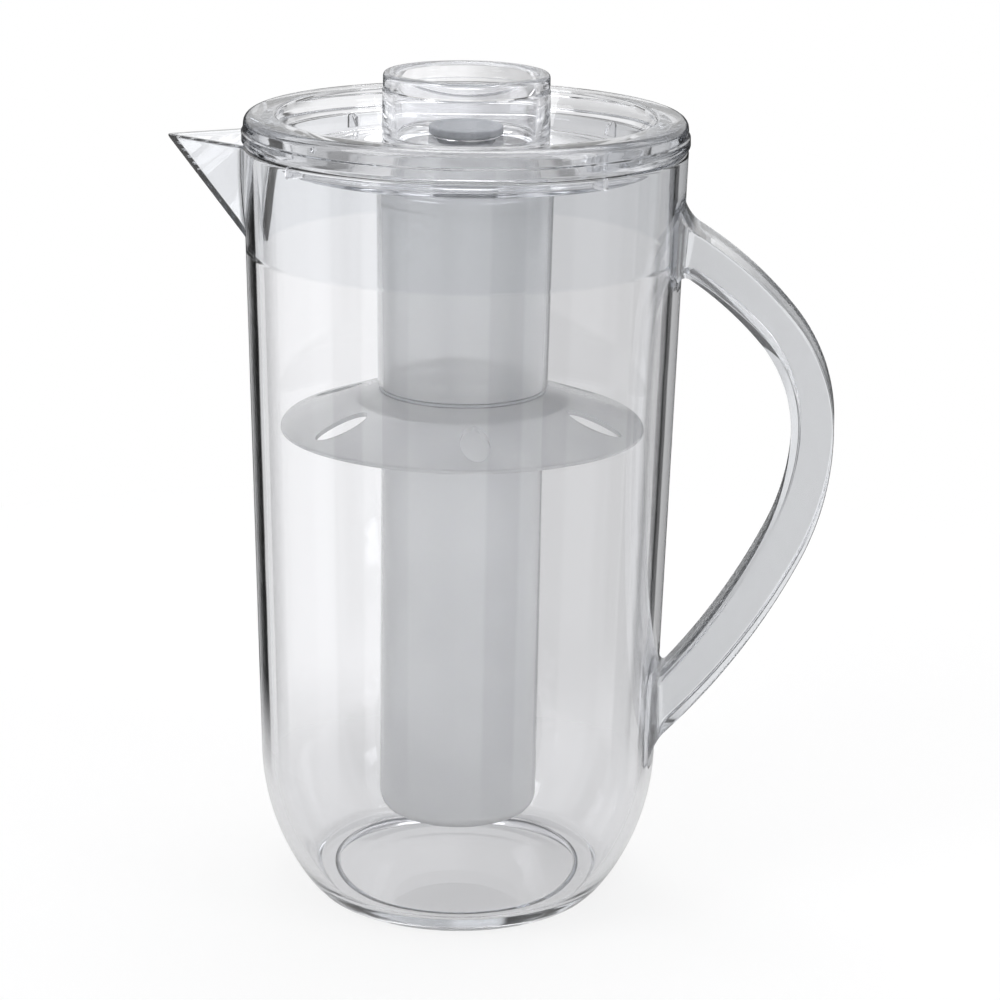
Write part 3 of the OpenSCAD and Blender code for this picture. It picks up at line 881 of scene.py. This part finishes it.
class PITCHER_OT_plug(bpy.types.Operator):
    """Make the grey plug that closes the filling hole in the lid"""
    bl_idname = "pitcher.plug"
    bl_label = "Filling plug"

    def execute(self, context):
        s = context.scene.pitcher_core
        end, top = low("fill_plug") / 1000, high("fill_plug") / 1000
        seat = context.scene.pitcher_lid.web_top + HAIR
        # The head is dished on top, and the neck is hollow from below.
        dish, hollow, roof = top - 0.0006, s.plug_neck_radius - 0.0022, seat - 0.001
        outline = soften([
            (0, dish, 0), (s.plug_head_radius - 0.0026, dish, 0.0006),
            (s.plug_head_radius - 0.0018, top, 0.0005), (s.plug_head_radius, top, 0.0007),
            (s.plug_head_radius, seat, 0.0007), (s.plug_neck_radius, seat, 0.0003),
            (s.plug_neck_radius, end + 0.003, 0.0006), (s.plug_neck_radius - 0.0005, end, 0.0006),
            (hollow, end, 0.0005), (hollow, roof, 0.001), (0, roof, 0)], loop=False)
        place(turned("fill_plug", outline, SMALL_COLUMNS, loop=False), PLUG, "plug", "fill_plug")
        return {"FINISHED"}


# Ice core

class PITCHER_OT_seals(bpy.types.Operator):
    """Make the two rubber seals at the ends of the tube"""
    bl_idname = "pitcher.seals"
    bl_label = "Seals"

    def execute(self, context):
        s = context.scene.pitcher_core
        for name, body, radius in (("tube_seal", "tube_ring", s.tube_top_radius),
                                   ("cup_seal", "guard", s.tube_low_radius)):
            inside, outside = radius - s.tube_wall + 0.0002, radius - 0.0003
            below, above = low(name) / 1000 + HAIR / 2, high(name) / 1000 - HAIR / 2
            bend = (above - below) * 0.3
            outline = soften([(inside, below, bend), (outside, below, bend),
                              (outside, above, bend), (inside, above, bend)])
            place(turned(name, outline, SMALL_COLUMNS), SEAL, body, name)
        return {"FINISHED"}


class PITCHER_OT_tube(bpy.types.Operator):
    """Make the smoky tube that screws on to the lid"""
    bl_idname = "pitcher.tube"
    bl_label = "Tube"

    def execute(self, context):
        s = context.scene.pitcher_core
        end, top = low("upper_tube") / 1000 + HAIR, high("upper_tube") / 1000 - HAIR
        socket = s.tube_top_radius - s.tube_wall
        bore = s.tube_low_radius - s.tube_wall
        outline = soften([
            (s.tube_low_radius, end, 0.0005), (s.tube_top_radius, top, 0.0006), (socket, top, 0.0004),
            (socket, top - s.socket_depth, 0.0004), (bore + 0.0005, top - s.socket_depth - 0.0006, 0.0003),
            (bore, end, 0.0003)])
        place(turned("upper_tube", outline), SMOKE, "tube", "upper_tube")
        return {"FINISHED"}


class PITCHER_OT_guard(bpy.types.Operator):
    """Make the frosted guard and cut its drain holes"""
    bl_idname = "pitcher.guard"
    bl_label = "Fruit guard"

    def execute(self, context):
        s = context.scene.pitcher_core
        hub = high("fruit_guard") / 1000 - HAIR
        edge = hub - s.guard_drop - s.guard_thickness
        slope = s.guard_drop / (s.guard_radius - s.tube_low_radius)
        bore = s.tube_low_radius - s.tube_wall
        shoulder = hub - s.hub_height + 2 * HAIR
        root = s.guard_radius - (shoulder - edge) / slope
        outline = soften([
            (bore, shoulder, 0.0003), (root, shoulder, 0.0012), (s.guard_radius, edge, 0.0005),
            (s.guard_radius, hub - s.guard_drop, 0.0005), (s.tube_low_radius, hub, 0.0012),
            (bore, hub, 0.0003)])
        guard = grown("fruit_guard", drain_pattern(finish(FROST)), {
            "Count": s.drain_count, "Turn": s.drain_turn, "Length": s.drain_length, "Width": s.drain_width,
            "Place": s.drain_at, "Middle": (hub + edge) / 2}, turned("guard_blank", outline))
        place(guard, FROST, "guard", "fruit_guard")
        return {"FINISHED"}


class PITCHER_OT_cup(bpy.types.Operator):
    """Make the frosted ice cup with its threaded neck"""
    bl_idname = "pitcher.cup"
    bl_label = "Ice cup"

    def execute(self, context):
        s, lid = context.scene.pitcher_core, context.scene.pitcher_lid
        end, top = low("lower_cup") / 1000, high("lower_cup") / 1000
        shoulder = low("cup_seal") / 1000 - s.hub_height - HAIR
        inside, floor = s.cup_radius - s.cup_wall, end + s.cup_wall
        neck = s.neck_radius - s.neck_wall
        outline = soften([
            (0, end, 0), (s.cup_radius, end, s.cup_round), (s.cup_radius, shoulder, 0.0006),
            (s.neck_radius, shoulder, 0.0003), (s.neck_radius, top, 0.0005), (neck, top, 0.0004),
            (neck, shoulder, 0.0008), (inside, shoulder - 0.002, 0.0008),
            (inside, floor, s.cup_round - s.cup_wall), (0, floor, 0)], steps=10, loop=False)
        place(turned("lower_cup", outline, loop=False), FROST, "cup", "lower_cup")
        thread = grown("neck_thread", thread_pattern(finish(FROST)), {
            "Radius": s.neck_radius, "Pitch": lid.thread_pitch, "Turns": 0.8,
            "Ridge": lid.thread_ridge - 0.0001, "Start": high("cup_seal") / 1000 + THREAD_START})
        place(thread, FROST, "cup")
        return {"FINISHED"}


# Studio

# Dark cards that stand round the studio, alike in each quarter turn: how far each stands left of straight
# behind the pitcher, in degrees, half its width, and how dark it is. Far cards show through whole vessels,
# and close ones only in the light that has crossed a single wall, along the outlines.
FAR_CARDS = ((-21.0, 8.0, 0.7),)
CLOSE_CARDS = ((23.5, 9.5, 1.0), (-38.0, 8.0, 0.97))
# Half the width of a card's soft edge, in degrees.
CARD_FADE = 1.5
# Soft boxes: name, place, width, height and power. All face the same point.
LAMPS = (("Key", (-0.75, -0.7, 0.95), 0.55, 0.75, 5.0), ("Fill", (0.95, -0.45, 0.6), 0.4, 0.7, 2.5),
         ("Top", (0.1, 0.35, 1.2), 0.8, 0.5, 4.0))
LAMP_AIM = Vector((0, 0, 0.13))


def studio_paper(name):
    """White paper disc: white to the camera, dulled where the pitcher shades it, and fading out to the
    studio round it where it is seen through clear pieces."""
    looks = bpy.context.scene.pitcher_finishes
    made, tree, at = new_finish(name)
    sight = node(tree, "ShaderNodeLightPath").outputs
    through = node(tree, "ShaderNodeMath", {0: sight["Is Glossy Ray"], 1: sight["Is Transmission Ray"]},
                   operation="MAXIMUM").outputs[0]
    seen = node(tree, "ShaderNodeMath", {0: sight["Is Camera Ray"], 1: through}, operation="MAXIMUM")
    share = node(tree, "ShaderNodeMath", {0: seen.outputs[0], 1: 0.8}, operation="MULTIPLY")
    paper = node(tree, "ShaderNodeBsdfDiffuse", {"Color": looks.paper})
    level = node(tree, "ShaderNodeMath", {0: through, 1: -0.3, 2: 1.0}, operation="MULTIPLY_ADD")
    glow = node(tree, "ShaderNodeEmission", {"Color": (1, 1, 1, 1), "Strength": level.outputs[0]})
    mixed = node(tree, "ShaderNodeMixShader", {
        0: share.outputs[0], 1: paper.outputs[0], 2: glow.outputs[0]})
    away = node(tree, "ShaderNodeVectorMath", {0: at}, operation="LENGTH")
    edge = node(tree, "ShaderNodeMapRange", {
        "Value": away.outputs["Value"], "From Min": 0.10, "From Max": 0.22}, interpolation_type="SMOOTHSTEP")
    gone = node(tree, "ShaderNodeMath", {0: edge.outputs[0], 1: through}, operation="MULTIPLY")
    clear = node(tree, "ShaderNodeBsdfTransparent")
    faded = node(tree, "ShaderNodeMixShader", {
        0: gone.outputs[0], 1: mixed.outputs[0], 2: clear.outputs[0]})
    node(tree, "ShaderNodeOutputMaterial", {"Surface": faded.outputs[0]})
    return made


def hung(tree, quarter, cards):
    """What is left of the world's light between dark cards, by the turn within a quarter."""
    left = 1.0
    for degrees, half_width, dark in cards:
        off = node(tree, "ShaderNodeMath", {0: quarter, 1: math.radians(degrees)}, operation="SUBTRACT")
        away = node(tree, "ShaderNodeMath", {0: off.outputs[0]}, operation="ABSOLUTE")
        beside = node(tree, "ShaderNodeMapRange", {
            "Value": away.outputs[0], "From Min": math.radians(half_width - CARD_FADE),
            "From Max": math.radians(half_width + CARD_FADE), "To Min": 1.0 - dark, "To Max": 1.0},
            interpolation_type="SMOOTHSTEP")
        left = node(tree, "ShaderNodeMath", {0: left, 1: beside.outputs[0]}, operation="MULTIPLY").outputs[0]
    return left


def studio_world():
    """Even white light. Clear pieces also see dark cards through their walls, which draw their edges, and
    mirror a bright screen on the spout's side of the camera and a dim room beside it."""
    world = bpy.data.worlds.new("Studio")
    world.use_nodes = True
    tree = world.node_tree
    tree.nodes.clear()
    azimuth = bpy.context.scene.pitcher_studio.camera_azimuth
    sight = node(tree, "ShaderNodeLightPath").outputs
    heading = node(tree, "ShaderNodeTexCoord").outputs["Generated"]
    way = node(tree, "ShaderNodeSeparateXYZ", {0: heading}).outputs
    # Turn to the left of straight behind the pitcher, alike in each quarter.
    across = node(tree, "ShaderNodeMath", {0: way["X"], 1: -1.0}, operation="MULTIPLY")
    turn = node(tree, "ShaderNodeMath", {0: across.outputs[0], 1: way["Y"]}, operation="ARCTAN2")
    behind = node(tree, "ShaderNodeMath", {0: turn.outputs[0], 1: azimuth}, operation="SUBTRACT")
    quarter = node(tree, "ShaderNodeMath", {0: behind.outputs[0], 1: math.pi / 4, 2: -math.pi / 4},
                   operation="WRAP").outputs[0]
    # How far the heading points to the camera's side, and to the spout's side.
    forward = node(tree, "ShaderNodeVectorMath", {
        0: heading, 1: (math.sin(azimuth), -math.cos(azimuth), 0)}, operation="DOT_PRODUCT").outputs["Value"]
    spoutward = node(tree, "ShaderNodeVectorMath", {
        0: heading, 1: (-math.cos(azimuth), -math.sin(azimuth), 0)}, operation="DOT_PRODUCT").outputs["Value"]

    # Soft ramps: what each follows, where it starts and ends, and its level at the start and the end.
    soft_ramps = {
        "handle side": (quarter, math.radians(-3), math.radians(1), 0.68, 1.0),
        "near floor": (way["Z"], -0.62, -0.45, 0.7, 1.0),
        "above cards' feet": (way["Z"], -0.5, -0.4, 0.0, 1.0),
        "screens": (forward, -0.66, -0.5, 0.0, 1.0),
        "spout side": (spoutward, -0.02, 0.02, 0.8, 1.0),
        "ceiling": (way["Z"], 0.0, 0.12, 0.0, 1.0),
        "made up": (way["Z"], 0.1, 0.6, 2.05, 0.35)}
    ramp = {}
    for name, (value, start, end, first, last) in soft_ramps.items():
        ramp[name] = node(tree, "ShaderNodeMapRange", {
            "Value": value, "From Min": start, "From Max": end, "To Min": first, "To Max": last},
            interpolation_type="SMOOTHSTEP").outputs[0]

    # What shows through: dimmer on the handle's side and close to the floor. Sockets 2 and 3 of a mix are
    # its two values. Two surfaces crossed are a single wall.
    single = node(tree, "ShaderNodeMath", {0: sight["Transmission Depth"], 1: 2.5}, operation="LESS_THAN")
    close = node(tree, "ShaderNodeMix", {
        "Factor": ramp["above cards' feet"], 2: 1.0, 3: hung(tree, quarter, CLOSE_CARDS)})
    cards = node(tree, "ShaderNodeMix", {
        "Factor": single.outputs[0], 2: hung(tree, quarter, FAR_CARDS), 3: close.outputs[0]})
    dimmed = node(tree, "ShaderNodeMath", {0: ramp["handle side"], 1: ramp["near floor"]},
                  operation="MULTIPLY")
    through = node(tree, "ShaderNodeMath", {0: dimmed.outputs[0], 1: cards.outputs[0]}, operation="MULTIPLY")

    # What the surfaces mirror: white screens beside and behind the camera, brighter on the spout's side.
    screens = node(tree, "ShaderNodeMath", {0: ramp["screens"], 1: ramp["spout side"]}, operation="MULTIPLY")
    walls = node(tree, "ShaderNodeMath", {0: screens.outputs[0], 1: 0.95, 2: 0.05}, operation="MULTIPLY_ADD")
    mirrored = node(tree, "ShaderNodeMix", {"Factor": ramp["ceiling"], 2: walls.outputs[0], 3: 0.85})

    passed = sight["Is Transmission Ray"]
    sharp = node(tree, "ShaderNodeMix", {"Factor": passed, 2: mirrored.outputs[0], 3: through.outputs[0]})
    # Light that reaches dull pieces through clear walls makes up for the lamps, which those walls hold off.
    soft = node(tree, "ShaderNodeMix", {"Factor": passed, 2: 0.75, 3: ramp["made up"]})
    dull = node(tree, "ShaderNodeMath", {0: sight["Diffuse Depth"], 1: 0.5}, operation="GREATER_THAN")
    lit = node(tree, "ShaderNodeMix", {"Factor": dull.outputs[0], 2: sharp.outputs[0], 3: soft.outputs[0]})
    strength = node(tree, "ShaderNodeMix", {"Factor": sight["Is Camera Ray"], 2: lit.outputs[0], 3: 1.0})
    sky = node(tree, "ShaderNodeBackground", {"Color": (1, 1, 1, 1), "Strength": strength.outputs[0]})
    node(tree, "ShaderNodeOutputWorld", {"Surface": sky.outputs[0]})
    return world


class PITCHER_OT_stage(bpy.types.Operator):
    """Lay the studio floor, hang the lamps and set the camera"""
    bl_idname = "pitcher.stage"
    bl_label = "Stage"

    FLOOR_COLUMNS = 96

    def lay_floor(self, radius):
        """A paper disc just under the foot ring."""
        bm = bmesh.new()
        level = -2 * HAIR
        turns = [math.tau * k / self.FLOOR_COLUMNS for k in range(self.FLOOR_COLUMNS)]
        centre = bm.verts.new((0, 0, level))
        ring = [bm.verts.new((radius * math.cos(t), radius * math.sin(t), level)) for t in turns]
        skin(bm, [centre], ring)
        floor = as_object("studio_floor", bm)
        floor.data.materials.append(studio_paper("Studio paper"))

    def hang_lamps(self, scene):
        """Soft boxes that face the pitcher's middle."""
        for name, at, width, height, power in LAMPS:
            data = bpy.data.lights.new(name, "AREA")
            data.shape, data.size, data.size_y, data.energy = "RECTANGLE", width, height, power
            lamp = bpy.data.objects.new(name, data)
            lamp.location = at
            lamp.rotation_euler = (LAMP_AIM - Vector(at)).to_track_quat("-Z", "Y").to_euler()
            scene.collection.objects.link(lamp)

    def set_camera(self, scene, s):
        """A camera at the fitted place; its own right and up are tilted by its roll."""
        turn = s.camera_azimuth
        at = Vector((math.sin(turn), -math.cos(turn), 0)) * s.camera_distance
        at += Vector((0, 0, s.camera_height))
        heading, level = turn - s.camera_yaw, math.cos(s.camera_pitch)
        ahead = Vector((-math.sin(heading) * level, math.cos(heading) * level, -math.sin(s.camera_pitch)))
        right = Vector((math.cos(heading), math.sin(heading), 0))
        up = right.cross(ahead)
        side = right * math.cos(s.camera_roll) + up * math.sin(s.camera_roll)
        above = up * math.cos(s.camera_roll) - right * math.sin(s.camera_roll)
        data = bpy.data.cameras.new("Camera")
        data.lens, data.sensor_width = s.lens, 36
        camera = bpy.data.objects.new("Camera", data)
        axes = Matrix((side, above, -ahead)).transposed().to_4x4()
        camera.matrix_world = Matrix.Translation(at) @ axes
        scene.collection.objects.link(camera)
        scene.camera = camera

    def execute(self, context):
        scene, s = context.scene, context.scene.pitcher_studio
        self.lay_floor(s.floor_radius)
        scene.world = studio_world()
        self.hang_lamps(scene)
        self.set_camera(scene, s)
        scene.view_settings.view_transform = "Standard"
        # Light crosses many clear walls on its way.
        scene.cycles.max_bounces = 40
        scene.cycles.transmission_bounces = 40
        scene.cycles.glossy_bounces = 24
        scene.cycles.transparent_max_bounces = 16
        scene.cycles.sample_clamp_indirect = 4.0
        return {"FINISHED"}


# Add-on

OPERATORS = (PITCHER_OT_jug, PITCHER_OT_handle, PITCHER_OT_lid, PITCHER_OT_plug, PITCHER_OT_seals,
             PITCHER_OT_tube, PITCHER_OT_guard, PITCHER_OT_cup, PITCHER_OT_stage)
GROUPS = {"pitcher_jug": JugSizes, "pitcher_handle": HandleSizes, "pitcher_lid": LidSizes,
          "pitcher_core": CoreSizes, "pitcher_finishes": Finishes, "pitcher_studio": StudioSizes}


class PITCHER_PT_pieces(bpy.types.Panel):
    """Sizes and pieces of the pitcher"""
    bl_label = "Pitcher"
    bl_idname = "PITCHER_PT_pieces"
    bl_space_type = "VIEW_3D"
    bl_region_type = "UI"
    bl_category = "Pitcher"

    def draw(self, context):
        for operator in OPERATORS:
            self.layout.operator(operator.bl_idname)
        for key, group in GROUPS.items():
            box = self.layout.box()
            for name in group.__annotations__:
                box.prop(getattr(context.scene, key), name)


def register():
    for kind in (*GROUPS.values(), *OPERATORS, PITCHER_PT_pieces):
        bpy.utils.register_class(kind)
    for key, group in GROUPS.items():
        setattr(bpy.types.Scene, key, bpy.props.PointerProperty(type=group))


def unregister():
    for key in GROUPS:
        delattr(bpy.types.Scene, key)
    for kind in reversed((*GROUPS.values(), *OPERATORS, PITCHER_PT_pieces)):
        bpy.utils.unregister_class(kind)


def main():
    register()
    bpy.ops.pitcher.jug()
    bpy.ops.pitcher.handle()
    bpy.ops.pitcher.lid()
    bpy.ops.pitcher.plug()
    bpy.ops.pitcher.seals()
    bpy.ops.pitcher.tube()
    bpy.ops.pitcher.guard()
    bpy.ops.pitcher.cup()
    bpy.ops.pitcher.stage()


if __name__ == "__main__":
    main()
